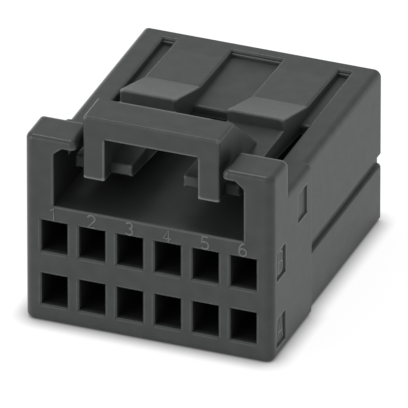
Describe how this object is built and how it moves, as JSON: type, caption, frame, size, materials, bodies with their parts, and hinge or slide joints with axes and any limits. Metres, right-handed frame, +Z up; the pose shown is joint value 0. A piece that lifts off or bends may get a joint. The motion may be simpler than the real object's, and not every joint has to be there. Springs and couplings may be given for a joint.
{
  "type": "circuit board connector",
  "caption": "Rectangular plastic connector housing with rows of square wire cavities, a latch lever with wedges and a raised press bridge, guarding ears and side guide grooves.",
  "frame": {"origin": "under the middle of the housing, on the plane that it rests on", "axes": "+X across the columns, to the side with the row marks; +Y from the wire entry face to the mating face; +Z up, to the latch lever"},
  "size_m": [0.025, 0.03, 0.0225],
  "materials": {
    "housing_plastic": "matte moulded plastic, dark grey, with a faint satin sheen"
  },
  "bodies": {
    "root": {"housing": "housing_plastic"}
  },
  "joints": []
}
